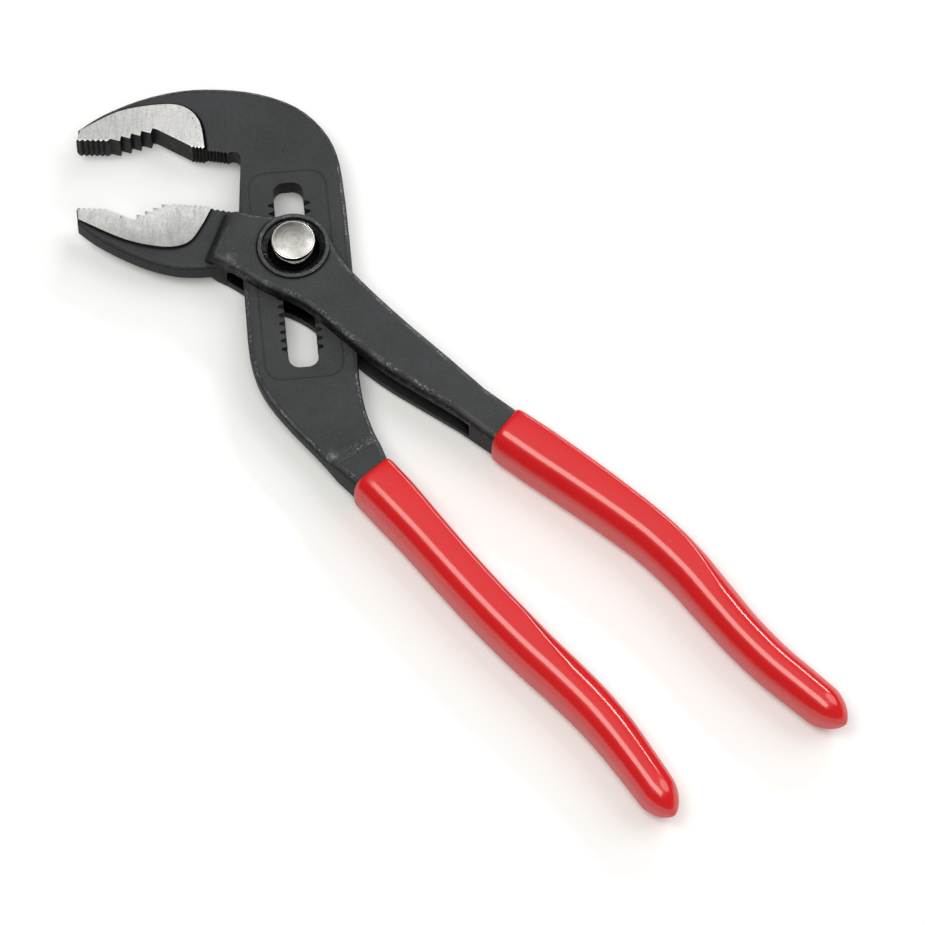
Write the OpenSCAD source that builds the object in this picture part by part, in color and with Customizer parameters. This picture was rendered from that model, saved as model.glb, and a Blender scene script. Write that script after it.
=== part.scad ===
// Water pump pliers with a push-button box joint, jaws part open as they lie on a table.
// Millimetres, +Z up. The origin is on the joint's axis in the plane of the rear rest face.
// +X runs along the outer leg's handle and the jaws point toward -X.

/* [Overall] */
// Nominal length of the pliers, which scales both legs' outlines
nominal_length = 180; // [150:5:250]
// Thickness of the box, and of the whole tool as it lies
box_thickness = 10.6; // [9.6:0.2:13]
// Thickness of the slotted plate that runs through the box
plate_thickness = 4.2; // [3.6:0.1:5]
// Thickness of both jaws over their ground pads
jaw_thickness = 6; // [5:0.2:7.2]
// Thickness of the lower jaw's neck and shoulder
neck_thickness = 4.6; // [4:0.2:5]

/* [Toothed slot] */
// Rounding of the slit's blind end in the box
slit_end_rounding = 1.7; // [1:0.1:1.8]
// Distance from one notch to the next
notch_pitch = 1.8; // [1.6:0.1:2.2]
// Depth of a notch
notch_depth = 1.1; // [0.6:0.1:1.2]
// Slot width between tooth tips
slot_width = 5.6; // [5.4:0.1:6.4]
// Slot length from the joint's axis toward the jaws
slot_toward_jaws = 15.4; // [14.5:0.1:16]
// Slot length from the joint's axis toward the handle
slot_toward_handle = 23.8; // [22.8:0.1:24.4]
// Rounding of the slot's plain ends
slot_end_rounding = 2; // [1.4:0.1:2.6]
// Width of the shallow guide track round the slot
track_width = 14.4; // [12:0.2:16]
// Depth of the guide track
track_depth = 0.12; // [0.1:0.05:0.4]

/* [Joint bolt and button] */
// Metal of the bolt's rear flange beyond its teeth
flange_margin = 0.1; // [0.05:0.05:0.5]
// Height of plate that the bolt's teeth hold at rest
teeth_hold = 2.2; // [1.4:0.1:2.6]
// Teeth on each side of the bolt
bolt_teeth = 3; // [1:2:3]
// Step from the bolt's neck to its stem, which stops it under the front cheek
bolt_shoulder = 0.45; // [0.3:0.05:0.8]
// Step from the bolt's stem to the spigot that holds the button
spigot_step = 0.6; // [0.4:0.1:0.9]
// Wire of the button's spring
spring_wire = 0.5; // [0.4:0.05:0.55]
// Turns of the button's spring
spring_turns = 2; // [1.5:0.5:2.5]
// Wall of the button's skirt
skirt_wall = 0.35; // [0.25:0.05:0.6]
// Height of the button above the raised ring
button_rise = 2.4; // [2.4:0.1:3.4]
// Reach of the button's face beyond its skirt
face_reach = 0.4; // [0.3:0.05:0.6]
// Reach of the thin lip at the skirt's lower end
lip_reach = 0.15; // [0.1:0.05:0.25]
// Width of the step round the well's mouth
mouth_step = 1.15; // [0.6:0.05:1.4]
// Width of the raised ring
ring_width = 0.95; // [0.8:0.05:1.4]
// Height of the raised ring above the cheek
ring_rise = 0.5; // [0.2:0.1:0.8]
// Metal left under the well
well_floor = 1; // [0.6:0.1:1.2]

/* [Grips] */
// Wall of the dipped sleeves
grip_wall = 0.9; // [0.7:0.1:1.4]
// Rounding of the sleeves' long edges
grip_rounding = 3.6; // [2.6:0.1:4]
// Length of a sleeve's rounded nose
nose_length = 6.2; // [4:0.2:8]

/* [Fits] */
// Room on each face of the plate in the box
slide_room = 0.1; // [0.08:0.01:0.2]
// Radial room of the bolt in its bores
turn_room = 0.05; // [0.03:0.01:0.08]
// Room round each tooth of the bolt
tooth_room = 0.12; // [0.08:0.01:0.16]
// Room between a sleeve and its tang
grip_room = 0.08; // [0.05:0.01:0.12]
// Room between the bolt's neck and the slot's tooth tips
neck_room = 0.15; // [0.1:0.05:0.2]
// Room between the spring and the bolt's stem
spring_room = 0.3; // [0.2:0.05:0.4]
// Room between the spring and the button's skirt
skirt_room = 0.3; // [0.2:0.05:0.5]
// Room between the button's face and its well
well_room = 0.7; // [0.4:0.05:0.9]

/* [Hidden] */
k = nominal_length / 180;
mid = box_thickness / 2;
gap = plate_thickness + 2 * slide_room;
gap_low = mid - gap / 2;
gap_high = mid + gap / 2;
plate_low = mid - plate_thickness / 2;
slot_angle = -40;
well_base = gap_high + well_floor;
ring_top = box_thickness + ring_rise;
button_top = ring_top + button_rise;
button_ceiling = button_top - 1;
press_travel = teeth_hold + 0.2;
skirt_low = well_base + press_travel + 0.15;
block_half = bolt_teeth * notch_pitch / 2 + 0.25;
block_reach = max(
  norm([block_half, slot_width / 2 - tooth_room]),
  norm([bolt_teeth * notch_pitch / 2 - notch_pitch * 0.34, slot_width / 2 + notch_depth - tooth_room])
);
flange_radius = block_reach + flange_margin;
neck_radius = slot_width / 2 - neck_room;
stem_radius = neck_radius - bolt_shoulder;
spigot_radius = stem_radius - spigot_step;
spring_radius = stem_radius + spring_room + spring_wire / 2;
skirt_inner = spring_radius + spring_wire / 2 + skirt_room;
skirt_outer = skirt_inner + skirt_wall;
button_radius = skirt_outer + face_reach;
well_radius = button_radius + well_room;
mouth_radius = well_radius + mouth_step;
ring_radius = mouth_radius + ring_width;
far = 40;
$fn = 48;

// Control rows of the legs: edge on the left of the run, edge on the right, thickness, rounding
box_rows = [
  [-15.2, -3.0, -10.6, -13.0, 4.8, 0.8],
  [-14.1, -2.3, -9.7, -12.4, 8.4, 1.1],
  [-12.8, -1.6, -8.6, -11.9, 0, 1.3],
  [-9.6, 0.3, -6.4, -11.2, 0, 1.3],
  [-6.7, 2.8, -4.0, -10.7, 0, 1.3],
  [-3.9, 5.9, -1.4, -10.2, 0, 1.3],
  [0.2, 7.1, 1.6, -9.6, 0, 1.3],
  [4.0, 6.1, 4.6, -8.7, 0, 1.3],
  [7.4, 4.9, 7.8, -7.5, 0, 1.3],
  [11.5, 4.3, 11.5, -6.8, 0, 1.4],
  [18, 4.0, 18, -6.6, 0, 1.6],
  [25, 3.9, 25, -6.4, 0, 1.6],
  [31, 4.0, 31, -5.8, -0.2, 1.6],
  [37, 4.2, 37, -4.7, -0.5, 1.6],
  [46, 4.3, 46, -3, -1, 1.5]
];
lower_jaw_rows = [
  [-36.1, -21.2, -33.7, -23.8, 1, 0.5],
  [-31, -15.5, -29.6, -23.5, 1, 0.7],
  [-26, -10.5, -24, -22.2, 1, 0.9],
  [-21.5, -6, -18.4, -20.2, 1, 0.9],
  [-17.5, -2.6, -14.1, -17.8, 1, 0.9],
  [-13.4, -0.6, -11.2, -15.3, 1, 0.9],
  [-9.6, -1.2, -9, -12.9, 1, 0.9],
  [-8.6, -1.2, -7.4, -10.9, 1, 0.9]
];
plate_rows = [
  [-48.0, -9.8, -44, -13.6, 1, 0.4],
  [-47.2, -4.4, -39.5, -10, 1, 0.6],
  [-44.7, 2.9, -34.5, -5, 1, 0.9],
  [-40.7, 9.8, -30, -1, 1, 1],
  [-35.5, 15.4, -26, 2.2, 1, 1],
  [-29.4, 20.0, -22.5, 3.2, 1, 1],
  [-22.5, 22.9, -19.4, 3.4, 1, 1],
  [-15.6, 23.1, -17, 1.8, 1, 1],
  [-9.7, 21.1, -13.6, -1.3, 1, 1],
  [-3.7, 16.9, -10.2, -4.3, 1, 1],
  [3.3, 11.2, -4.3, -9.3, 1, 1],
  [10.3, 5.3, 1.8, -14.5, 1, 1],
  [16.2, 0.1, 6.7, -18.7, 1, 1],
  [21.8, -4.9, 11.2, -21.9, 1, 1],
  [26.8, -9.5, 16.3, -24.2, 1, 1],
  [31.8, -13.1, 22.8, -25.4, 1, 1],
  [35.8, -15.2, 31.9, -26.1, 1, 1],
  [37.6, -16, 34.7, -26.3, 1.15, 1.1],
  [39.6, -16.9, 37.6, -26.4, 1.7, 1.2]
];

// Sleeve paths: centre, width and thickness, from the mouth to the start of the nose
outer_path = [
  [53.9, 1.6, 9.4, 10.3],
  [62, 2.6, 9.6, 10.6],
  [71, 3.7, 9.3, 10.6],
  [80, 4.6, 8.9, 10.6],
  [88, 5.1, 8.6, 10.5],
  [97, 4.8, 8.5, 10.3],
  [105, 3.7, 8.2, 10],
  [113, 2.6, 7.8, 9.7],
  [121, 2.1, 7.6, 9.5],
  [128, 2.3, 7.4, 9.4],
  [133, 2.5, 7.2, 9.2]
];
inner_path = [
  [43.1, -22.5, 9.6, 10.2],
  [50, -23.1, 9.4, 10.6],
  [58, -24, 8.9, 10.6],
  [67, -25.1, 8.7, 10.6],
  [77, -26.1, 8.6, 10.6],
  [87, -26.7, 8.5, 10.5],
  [96, -26.9, 8.3, 10.3],
  [104, -27.3, 8.1, 10.1],
  [111, -28.2, 7.9, 9.8],
  [118, -29.6, 7.4, 9.5],
  [123.4, -30.8, 7.1, 9.2]
];

// Smooth value between p1 and p2, with their neighbours
function smooth(p0, p1, p2, p3, t) =
  p1 + t * ((p2 - p0) + t * ((2 * p0 - 5 * p1 + 4 * p2 - p3) + t * (3 * p1 - p0 - 3 * p2 + p3))) / 2;

function near(rows, i) = rows[min(max(i, 0), len(rows) - 1)];

// Rows with n steps in each span: the first c numbers follow a curve, the rest a straight line
function flow(rows, c, n) = [
  for (i = [0 : len(rows) - 2], s = [0 : n - 1])
    [for (j = [0 : len(rows[0]) - 1])
      j < c
        ? smooth(near(rows, i - 1)[j], rows[i][j], rows[i + 1][j], near(rows, i + 2)[j], s / n)
        : rows[i][j] + (rows[i + 1][j] - rows[i][j]) * s / n],
  rows[len(rows) - 1]
];

// A leg's row at its real size: thickness is a step from base when it isn't above zero
function leg_row(r, base) =
  [k * r[0], k * r[1], k * r[2], k * r[3], r[4] > 0 ? r[4] : base + r[4], r[5]];

function plate_row(r) = leg_row([r[0], r[1], r[2], r[3], r[4] * plate_thickness, r[5]], 0);

function neck_row(r) = leg_row([r[0], r[1], r[2], r[3], r[4] * neck_thickness, r[5]], 0);

// Sleeve path at its real size
function sleeve(path) =
  flow([for (r = path) [k * r[0], k * r[1], k * r[2], r[3] * box_thickness / 10.6]], 2, 2);

function heading(p, i) =
  let(d = near(p, i + 1) - near(p, i - 1), v = [d[0], d[1]]) v / norm(v);

// Leg rows of a sleeve path, grown by g on every side
function sleeve_rows(p, g, e) = [
  for (i = [0 : len(p) - 1])
    let(h = heading(p, i), w = p[i][2] / 2 + g)
      [p[i][0] - h[1] * w, p[i][1] + h[0] * w, p[i][0] + h[1] * w, p[i][1] - h[0] * w, p[i][3] + 2 * g, e]
];

// Path point moved by d along the path's end, with its section scaled by f and cut by c
function moved(p, i, d, f, c) =
  let(h = heading(p, i)) [p[i][0] + h[0] * d, p[i][1] + h[1] * d, p[i][2] * f - c, p[i][3] * f - c];

// Round-edged section of a leg row, with n steps in each corner
function section(r, n) =
  let(
    a = [r[0], r[1]],
    b = [r[2], r[3]],
    c = (a + b) / 2,
    w = norm(b - a) / 2,
    u = (b - a) / (2 * w),
    e = min(r[5], 0.9 * w, 0.45 * r[4])
  )
  [for (q = [0 : 3], s = [0 : n])
    let(
      g = 90 * (q + s / n),
      x = (w - e) * [1, -1, -1, 1][q] + e * cos(g),
      z = (r[4] / 2 - e) * [1, 1, -1, -1][q] + e * sin(g)
    )
    [c[0] + u[0] * x, c[1] + u[1] * x, mid + z]];

// Solid through the sections of all the rows
module loft(rows, n) {
  m = 4 * (n + 1);
  last = len(rows) - 1;
  polyhedron(
    points = [for (r = rows) each section(r, n)],
    faces = [
      [for (j = [0 : m - 1]) m - 1 - j],
      for (i = [0 : last - 1], j = [0 : m - 1]) each [
        [i * m + j, i * m + (j + 1) % m, (i + 1) * m + (j + 1) % m],
        [i * m + j, (i + 1) * m + (j + 1) % m, (i + 1) * m + j]
      ],
      [for (j = [0 : m - 1]) last * m + j]
    ]
  );
}

// Saw teeth from a to b: roots on the line, crests to its right when side is 1
function teeth(a, b, n, height, lean, side) =
  let(d = (b - a) / n, out = side * height * [d[1], -d[0]] / norm(d))
  [for (i = [0 : n - 1]) each [a + d * i, a + d * (i + lean) + out]];

upper_bite = concat(
  [[-47.7, -13.1]],
  teeth([-46.3, -11.6], [-42, -7.5], 6, 0.35, 0.5, 1),
  teeth([-41.9, -7.1], [-38, -0.1], 4, 0.95, 0.75, 1),
  [[-37.9, 0], [-37.3, 0.4]],
  teeth([-30.1, 2.4], [-24.2, 6.8], 11, 0.32, 0.5, 1),
  [[-24, 7.2], [-23.2, 7.8], [-22.3, 7.8], [-21.5, 7.2], [-12.8, -1.9]]
);

lower_bite = concat(
  [[-37.2, -23.7]],
  teeth([-35.6, -22.2], [-31.2, -18.2], 6, 0.35, 0.5, -1),
  [[-26.6, -16.4], [-26.1, -16]],
  teeth([-26, -15.8], [-23.6, -9.3], 4, 0.9, 0.25, -1),
  teeth([-23.4, -9.0], [-18.1, -4.6], 7, 0.35, 0.5, -1),
  teeth([-18, -4.5], [-13.6, -1.5], 5, 0.35, 0.5, -1),
  [[-13.4, -1.3], [-11.8, 0.2]]
);

// Room between the jaws, cut from the upper or the lower one
module bite(line, beyond) {
  translate([0, 0, mid - far / 2])
    linear_extrude(height = far)
      polygon(k * concat(line, beyond));
}

// Solid through outlines at rising heights: each runs clockwise from above, with as many points.
// An outline that isn't convex names the points of its convex parts
module stack(heights, outlines, parts = []) {
  n = len(outlines[0]);
  last = len(heights) - 1;
  caps = len(parts) > 0 ? parts : [[for (j = [0 : n - 1]) j]];
  polyhedron(
    points = [for (i = [0 : last], p = outlines[i]) [p[0], p[1], heights[i]]],
    faces = [
      for (c = caps) [for (j = [len(c) - 1 : -1 : 0]) c[j]],
      for (i = [0 : last - 1], j = [0 : n - 1]) each [
        [i * n + j, i * n + (j + 1) % n, (i + 1) * n + (j + 1) % n],
        [i * n + j, (i + 1) * n + (j + 1) % n, (i + 1) * n + j]
      ],
      for (c = caps) [for (j = c) last * n + j]
    ]
  );
}

// Ground pad on both faces of a jaw: outline in order, drawn in at its top
module pad(outline, thickness) {
  line = k * outline;
  n = len(line);
  c = [for (a = [0, 1]) [for (p = line) p[a]] * [for (p = line) 1 / n]];
  rim = [for (p = line) p + 0.25 * (c - p) / norm(c - p)];
  h = jaw_thickness / 2;
  b = thickness / 2 - 0.1;
  stack([mid - h, mid - b, mid + b, mid + h], [rim, line, line, rim]);
}

lower_pad = concat(
  flow([[-17.6, -4.2], [-16.1, -8.2], [-15.4, -12.4], [-18, -16.4], [-24.5, -20.4], [-34, -23.5]], 2, 4),
  [[-36, -21.9], [-31, -11], [-22, -2.4]]
);

upper_pad = concat(
  flow([[-47.5, -10], [-45.4, -2.2], [-41.2, 4.3], [-37.2, 7.6], [-32.6, 7.5], [-27.4, 3.8]], 2, 4),
  [[-25.5, 1], [-36, -10], [-45.5, -13.6]]
);

// Slit of the box that the plate runs and swings in, its blind end filled in by d
function slit(d) = k * [
  [-15.6, 26], [12.9, 26], [12.9, 5.2], [16.5, 2], [46, -0.7], [48.4, -2], [49, -3.8], [49, -30],
  [-5.9 + d, -30], [-5.9 + d, -13.5], [-7.2 + d, -8.8], [-10.8 + 0.2 * d, -5.6], [-15.6, -1.2]
];

slit_parts = [[0, 1, 2, 10, 11, 12], [2, 3, 9, 10], [3, 4, 5, 6, 7, 8, 9]];

// Slit between the cheeks: its blind end is rounded up to the front cheek
module slit_cut() {
  r = slit_end_rounding;
  foot = [[0, 0.15 * r], [0.1, 0.05 * r], [0.3, 0]];
  turn = [0, 22, 45, 68, 90];
  stack(
    concat([for (q = foot) gap_low + q[0]], [for (g = turn) gap_high - r + r * sin(g)]),
    concat([for (q = foot) slit(q[1])], [for (g = turn) slit(r * (1 - cos(g)))]),
    slit_parts
  );
}

// Raised ring round the counterbore, rounded like a bead
module ring() {
  h = ring_width / 2;
  rotate_extrude()
    polygon(concat(
      [[mouth_radius - 0.4, box_thickness - 0.6], [ring_radius, box_thickness - 0.6]],
      [for (g = [0 : 30 : 180])
        [mouth_radius + h + h * cos(g), box_thickness + ring_rise * sin(g)]],
      [[mouth_radius - 0.4, box_thickness]]
    ));
}

// Stepped counterbore for the button, down to the well's floor
module counterbore() {
  rotate_extrude()
    polygon([
      [0, well_base],
      [well_radius, well_base],
      [well_radius, box_thickness - 1.1],
      [well_radius + 0.15, box_thickness - 0.9],
      [mouth_radius - 0.2, box_thickness - 0.7],
      [mouth_radius, box_thickness - 0.5],
      [mouth_radius, ring_top + 1],
      [0, ring_top + 1]
    ]);
}

module bore(radius, low, high) {
  translate([0, 0, low])
    cylinder(r = radius, h = high - low);
}

module outer_leg() {
  tang = sleeve(outer_path);
  color([0.22, 0.22, 0.23])
    difference() {
      union() {
        loft(concat(
          flow([for (r = box_rows) leg_row(r, box_thickness)], 4, 3),
          sleeve_rows(tang, -grip_wall, 1.6)
        ), 3);
        difference() {
          union() {
            loft(flow([for (r = lower_jaw_rows) neck_row(r)], 4, 3), 3);
            pad(lower_pad, neck_thickness);
          }
          bite(lower_bite, [[-11.8, 12], [-44, 12], [-50, -20]]);
          bite(slit(0) / k, []);
        }
        ring();
      }
      slit_cut();
      counterbore();
      bore(stem_radius + turn_room, gap_high - 1, well_base + 1);
      bore(flange_radius + turn_room, -1, gap_low + 1);
    }
}

// Slot outline in the plate, along its own axis: plain rounded ends, notches on both sides
module slot_outline() {
  w = slot_width / 2;
  first = -floor((slot_toward_jaws - 4.5) / notch_pitch);
  last = floor((slot_toward_handle - 3.2) / notch_pitch);
  r = slot_end_rounding;
  x0 = -slot_toward_jaws + r;
  x1 = slot_toward_handle - r;
  translate([x0, -w])
    square([x1 - x0, slot_width]);
  for (x = [x0, x1]) {
    translate([x - r, r - w])
      square([2 * r, slot_width - 2 * r]);
    for (s = [-1, 1])
      translate([x, s * (w - r)])
        circle(r = r);
  }
  for (i = [first : last])
    notch(i * notch_pitch, w, notch_depth, 0);
}

// One notch across the slot, or one pair of the bolt's teeth when drawn in by room
module notch(x, w, depth, room) {
  half = notch_pitch * 0.36 - room;
  tip = notch_pitch * 0.1 - room / 2;
  polygon([
    for (s = [1, -1]) each [
      [x - s * half, s * (w - room - 0.3)],
      [x - s * half, s * (w - room)],
      [x - s * tip, s * (w + depth - room)],
      [x + s * tip, s * (w + depth - room)],
      [x + s * half, s * (w - room)],
      [x + s * half, s * (w - room - 0.3)]
    ]
  ]);
}

module along_slot(low, high) {
  rotate([0, 0, slot_angle])
    translate([0, 0, low])
      linear_extrude(height = high - low)
        children();
}

// Guide track's outline along the slot, grown by g
function track_line(g) =
  let(
    r = 3 + g,
    x0 = r - g - 2.2 - slot_toward_jaws,
    x1 = slot_toward_handle + 2.2 + g - r,
    y = track_width / 2 + g - r
  )
  [for (q = [3 : -1 : 0], a = [90 : -15 : 0])
    let(b = a + 90 * q, c = [[x1, y], [x0, y], [x0, -y], [x1, -y]][q] + r * [cos(b), sin(b)])
    [c[0] * cos(slot_angle) - c[1] * sin(slot_angle), c[0] * sin(slot_angle) + c[1] * cos(slot_angle)]];

// Shallow guide track with sloped sides round the slot, in both faces of the plate
module track() {
  top = plate_low + plate_thickness;
  slope = 0.35;
  stack(
    [plate_low - 1, plate_low, plate_low + track_depth],
    [track_line(slope), track_line(slope), track_line(0)]
  );
  stack(
    [top - track_depth, top, top + 1],
    [track_line(0), track_line(slope), track_line(slope)]
  );
}

module inner_leg() {
  tang = sleeve(inner_path);
  color([0.24, 0.24, 0.25])
    difference() {
      union() {
        loft(concat(
          flow([for (r = plate_rows) plate_row(r)], 4, 3),
          sleeve_rows(tang, -grip_wall, 1.6)
        ), 3);
        pad(upper_pad, plate_thickness);
      }
      bite(upper_bite, [[-12.8, -8], [-24, -24], [-50, -24]]);
      along_slot(-1, box_thickness + 1) slot_outline();
      track();
    }
}

// Dipped sleeve with a rolled lip at its mouth and a rounded nose
module grip(path) {
  p = sleeve(path);
  end = len(p) - 1;
  lip = [for (l = [[0, 1], [0.3, 0.4], [0.8, 0.1], [1.4, 0]]) moved(p, 0, l[0], 1, l[1])];
  nose = [for (s = [0.3, 0.55, 0.75, 0.9, 0.98]) moved(p, end, s * nose_length, pow(1 - s * s, 0.7), 0)];
  body = [for (i = [1 : end]) p[i]];
  hollow = concat([moved(p, 0, -1, 1, 0)], p, [moved(p, end, grip_room, 1, 0)]);
  color([0.8, 0.1, 0.1])
    difference() {
      loft(sleeve_rows(concat(lip, body, nose), 0, grip_rounding), 4);
      loft(sleeve_rows(hollow, grip_room - grip_wall, 1.6 + grip_room), 3);
    }
}

module outer_grip() {
  grip(outer_path);
}

module inner_grip() {
  grip(inner_path);
}

module pivot_bolt() {
  w = slot_width / 2;
  color([0.6, 0.6, 0.62]) {
    bore(flange_radius, 1, gap_low - 0.2);
    along_slot(gap_low - 0.3, plate_low + teeth_hold) {
      translate([-block_half, tooth_room - w])
        square([2 * block_half, slot_width - 2 * tooth_room]);
      for (i = [-(bolt_teeth - 1) / 2 : (bolt_teeth - 1) / 2])
        notch(i * notch_pitch, w, notch_depth, tooth_room);
    }
    bore(neck_radius, gap_low, gap_high - 0.1);
    bore(stem_radius, gap_low, button_ceiling);
    bore(spigot_radius, gap_low, button_ceiling + 0.55);
  }
}

// Cup-shaped button: crowned turned face over a slimmer skirt that ends in a thin lip
module push_button() {
  r = button_radius;
  t = button_top;
  lip = skirt_outer + lip_reach;
  color([0.85, 0.85, 0.85])
    rotate_extrude()
      polygon([
        [0, button_ceiling + 0.6],
        [spigot_radius, button_ceiling + 0.6],
        [spigot_radius, button_ceiling],
        [skirt_inner, button_ceiling],
        [skirt_inner, skirt_low],
        [lip - 0.1, skirt_low],
        [lip, skirt_low + 0.12],
        [lip, skirt_low + 0.45],
        [lip - 0.12, skirt_low + 0.6],
        [skirt_outer, skirt_low + 0.65],
        [skirt_outer, t - 0.75],
        [r - 0.12, t - 0.65],
        [r, t - 0.5],
        [r, t - 0.32],
        [r - 0.12, t - 0.18],
        [r - 0.4, t - 0.1],
        [r * 0.5, t - 0.02],
        [0, t + 0.02]
      ]);
}

// Point on the spring's wire, a turns up from its foot
function coil(a, rise, radius) = [radius * cos(360 * a), radius * sin(360 * a), rise * a];

module button_spring() {
  sides = 6;
  low = well_base + spring_wire / 2 + 0.05;
  rise = (button_ceiling - well_base - spring_wire - 0.1) / spring_turns;
  steps = 8 * spring_turns;
  points = [for (i = [0 : steps]) coil(i / 8, rise, spring_radius)];
  ring = [for (s = [0 : sides - 1]) [cos(360 * s / sides), sin(360 * s / sides)] * spring_wire / 2];
  echo(spring_gap = min([for (i = [0 : steps - 8]) norm(points[i + 8] - points[i])]) - spring_wire);
  color([0.7, 0.7, 0.7])
    translate([0, 0, low])
      polyhedron(
        points = [
          for (i = [0 : steps], q = ring)
            let(a = 45 * i)
              points[i] + [q[0] * cos(a), q[0] * sin(a), q[1]]
        ],
        faces = [
          [for (s = [0 : sides - 1]) sides - 1 - s],
          for (i = [0 : steps - 1], s = [0 : sides - 1]) each [
            [i * sides + s, i * sides + (s + 1) % sides, (i + 1) * sides + (s + 1) % sides],
            [i * sides + s, (i + 1) * sides + (s + 1) % sides, (i + 1) * sides + s]
          ],
          [for (s = [0 : sides - 1]) steps * sides + s]
        ]
      );
}

outer_leg();
inner_leg();
outer_grip();
inner_grip();
pivot_bolt();
push_button();
button_spring();
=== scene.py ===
"""Looks of a pair of water pump pliers: forged legs, dipped sleeves and a push-button joint."""

import logging
import math
from dataclasses import dataclass
from enum import Enum
from functools import cached_property
from typing import Any, Sequence, Union

import bmesh
import bpy
from mathutils import Matrix, Vector


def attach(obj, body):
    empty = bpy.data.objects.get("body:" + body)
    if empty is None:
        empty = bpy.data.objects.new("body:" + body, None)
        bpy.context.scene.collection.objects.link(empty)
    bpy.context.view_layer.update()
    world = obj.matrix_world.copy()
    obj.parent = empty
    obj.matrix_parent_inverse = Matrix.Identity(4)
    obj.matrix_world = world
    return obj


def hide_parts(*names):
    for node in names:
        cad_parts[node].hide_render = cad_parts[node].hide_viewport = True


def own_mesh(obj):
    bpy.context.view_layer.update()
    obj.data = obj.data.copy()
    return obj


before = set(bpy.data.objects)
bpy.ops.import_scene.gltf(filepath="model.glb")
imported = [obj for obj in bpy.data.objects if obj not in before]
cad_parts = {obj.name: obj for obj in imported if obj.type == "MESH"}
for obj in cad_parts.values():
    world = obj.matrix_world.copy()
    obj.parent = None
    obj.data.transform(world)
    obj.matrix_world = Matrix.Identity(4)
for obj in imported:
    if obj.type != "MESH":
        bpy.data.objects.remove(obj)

LOG = logging.getLogger("pliers")
MM = 0.001

Row = Sequence[float]
Span = tuple[float, float]
Colour = tuple[float, float, float]

WHITE: Colour = (1.0, 1.0, 1.0)
# black of the painted shade on walls, in corners, in the slit and in the well
SHADE_BLACK: Colour = (0.004, 0.004, 0.004)


class Slot(Enum):
    """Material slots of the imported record."""

    BLACK_STEEL = "black_steel"
    DIPPED_SLEEVE = "dipped_sleeve"
    JOINT_STEEL = "joint_steel"
    TURNED_STEEL = "turned_steel"
    SPRING_WIRE = "spring_wire"


class Body(Enum):
    """Bodies that the joints move."""

    OUTER_HALF = "outer_half"
    INNER_HALF = "inner_half"
    PIVOT = "pivot"
    BOLT = "bolt"


@dataclass(frozen=True)
class Landmarks:
    """Places on the legs that their finish follows, in millimetres; a pair is a soft border.

    Attributes:
        middle: height of the tool's middle plane.
        pad_start: x where the ground pads start.
        pad_rise: distance of the pads from the middle plane.
        teeth: x where the teeth's wear starts.
        jaw: x where the lower jaw starts.
        valley: x and y of the valley between the lower jaw's neck and the box.
        valley_way: direction across that valley, towards the box.
        valley_side: distance from the valley's line where it ends.
        neck_end: distance past that line where the neck ends.
        slit_start: distance past that line where the box's slit starts.
        slit_wall: distance of the slit's walls from the middle plane.
        slit_face: the same for its faces.
        slit_fade: x where the painted shade on those faces grows lighter along the handle.
        slit_end: x where the slit ends.
        ledge: radius of the ledge in the button's well.
        well: radius of that well.
        ring: radius of the ring round it.
        ring_side: half the width of that ring.
        ring_top: height where the ring's top starts.
        cheek_top: height where the worn top of the front cheek's side starts.
        face_top: height where the legs' front faces start.
        track_side: half the height of the slope round the guide track.
    """

    middle: float = 5.3
    pad_start: Span = (-15.0, -15.2)
    pad_rise: Span = (2.93, 2.96)
    teeth: Span = (-15.0, -18.0)
    jaw: Span = (-11.0, -13.5)
    valley: Span = (-12.67, -7.42)
    valley_way: Span = (0.86, 0.51)
    valley_side: Span = (0.3, 1.3)
    neck_end: Span = (-0.4, 0.6)
    slit_start: Span = (1.6, 2.2)
    slit_wall: Span = (1.9, 2.15)
    slit_face: Span = (2.3, 2.5)
    slit_fade: Span = (9.0, 14.0)
    slit_end: Span = (48.0, 50.0)
    ledge: Span = (4.8, 4.95)
    well: Span = (5.7, 5.8)
    ring: float = 6.4
    ring_side: Span = (0.25, 0.4)
    ring_top: Span = (10.7, 10.9)
    cheek_top: Span = (7.6, 7.9)
    face_top: Span = (7.2, 7.35)
    track_side: Span = (0.05, 0.065)


TOOL = Landmarks()


def shaded(colour: Colour, *shares: float) -> Colour:
    """Make a colour darker or lighter, up to 1.

    Args:
        colour: the colour.
        shares: one share for the whole of it, or one for each channel.

    Returns:
        The scaled colour.
    """
    each = shares * 3 if len(shares) == 1 else shares
    return tuple(min(1.0, share * channel) for share, channel in zip(each, colour))


def placed(name: str, data: bpy.types.ID) -> bpy.types.Object:
    """Make an object in the scene.

    Args:
        name: its name.
        data: its mesh, lamp or camera.

    Returns:
        The object, at the origin.
    """
    item = bpy.data.objects.new(name, data)
    bpy.context.scene.collection.objects.link(item)
    return item


def posed(place: Vector, axes: Sequence[Vector]) -> Matrix:
    """The pose of an object at a place, with its X, Y and Z along given directions."""
    return Matrix.Translation(place) @ Matrix(axes).transposed().to_4x4()


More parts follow.
